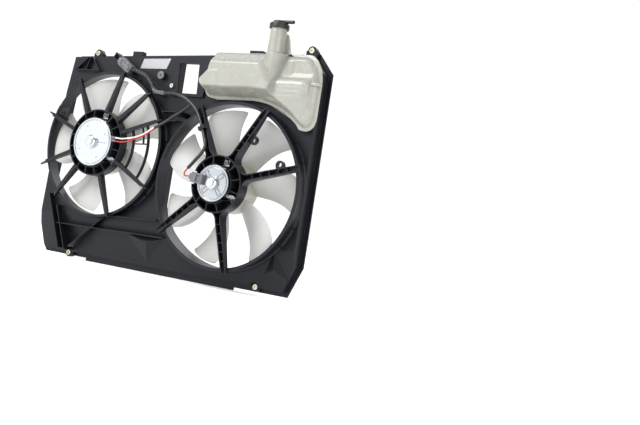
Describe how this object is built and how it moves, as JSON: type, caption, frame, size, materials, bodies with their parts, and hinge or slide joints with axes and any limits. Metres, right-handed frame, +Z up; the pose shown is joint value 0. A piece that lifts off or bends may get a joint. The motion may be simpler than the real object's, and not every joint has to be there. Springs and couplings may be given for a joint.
{
  "type": "radiator cooling fan assembly",
  "caption": "Moulded shroud with two motor-driven fans side by side and a coolant reservoir on top, bolted to the engine side of a radiator.",
  "frame": {"origin": "middle of the lower edge of the flange, in the face that meets the radiator", "axes": "+X across the shroud, to the right as seen from the engine; +Y towards the radiator; +Z up"},
  "size_m": [0.701, 0.11, 0.546],
  "materials": {
    "black_plastic": "moulded black polypropylene, fine satin grain",
    "fan_plastic": "natural off-white nylon, semi-matt",
    "tank_plastic": "translucent natural polyethylene, blow moulded",
    "cap_plastic": "black polypropylene, satin",
    "seal_rubber": "black rubber",
    "plate_steel": "bright zinc-plated pressed steel",
    "sleeve_steel": "yellow-passivated zinc on steel",
    "bearing_bronze": "sintered bronze",
    "magnet_ferrite": "ground ferrite",
    "core_steel": "stacked electrical steel, lacquered",
    "copper": "enamelled copper",
    "brush_board": "brown phenolic board",
    "label_white": "blank white label",
    "connector_grey": "dark grey nylon",
    "sleeve_grey": "grey woven tape",
    "tube_black": "black vinyl tube",
    "lead_white": "white wire insulation",
    "lead_red": "red wire insulation"
  },
  "bodies": {
    "shroud": {"shroud_frame": "black_plastic", "shroud_panel": "black_plastic", "left_fan_ring": "black_plastic", "right_fan_ring": "black_plastic", "left_motor_carrier": "black_plastic", "right_motor_carrier": "black_plastic", "mount_sleeves": "sleeve_steel", "reservoir_tank": "tank_plastic", "label_plate": "label_white", "round_grommet": "connector_grey", "panel_screw": "plate_steel", "harness_connector": "connector_grey", "connector_clip": "black_plastic", "harness_trunk": "tube_black", "trunk_sleeve": "sleeve_grey", "harness_clips": "black_plastic", "right_motor_tube": "tube_black", "left_motor_tube": "tube_black", "white_lead": "lead_white", "red_lead": "lead_red", "right_motor_lead": "lead_red", "right_motor_connector": "connector_grey", "left_motor_can": "plate_steel", "left_end_plate": "plate_steel", "left_bearing_cap": "plate_steel", "left_front_bearing": "bearing_bronze", "left_rear_bearing": "bearing_bronze", "left_magnets": "magnet_ferrite", "left_brush_holder": "brush_board", "left_motor_screws": "plate_steel", "right_motor_can": "plate_steel", "right_end_plate": "plate_steel", "right_bearing_cap": "plate_steel", "right_front_bearing": "bearing_bronze", "right_rear_bearing": "bearing_bronze", "right_magnets": "magnet_ferrite", "right_brush_holder": "brush_board", "right_motor_screws": "plate_steel"},
    "left_rotor": {"left_shaft": "core_steel", "left_armature_core": "core_steel", "left_windings": "copper", "left_commutator": "copper", "left_fan": "fan_plastic", "left_fan_nut": "plate_steel"},
    "right_rotor": {"right_shaft": "core_steel", "right_armature_core": "core_steel", "right_windings": "copper", "right_commutator": "copper", "right_fan": "fan_plastic", "right_fan_nut": "plate_steel"},
    "cap": {"reservoir_cap": "cap_plastic", "cap_seal": "seal_rubber"}
  },
  "joints": [
    {"name": "left_fan_spin", "type": "hinge", "parent": "shroud", "child": "left_rotor", "pos_m": [-0.167, 0, 0.258], "axis": [0, 1, 0], "continuous": true},
    {"name": "right_fan_spin", "type": "hinge", "parent": "shroud", "child": "right_rotor", "pos_m": [0.174, 0, 0.201], "axis": [0, 1, 0], "continuous": true},
    {"name": "cap_lift", "type": "slide", "parent": "shroud", "child": "cap", "axis": [0, 0, 1], "range_m": [0, 0.03]}
  ]
}
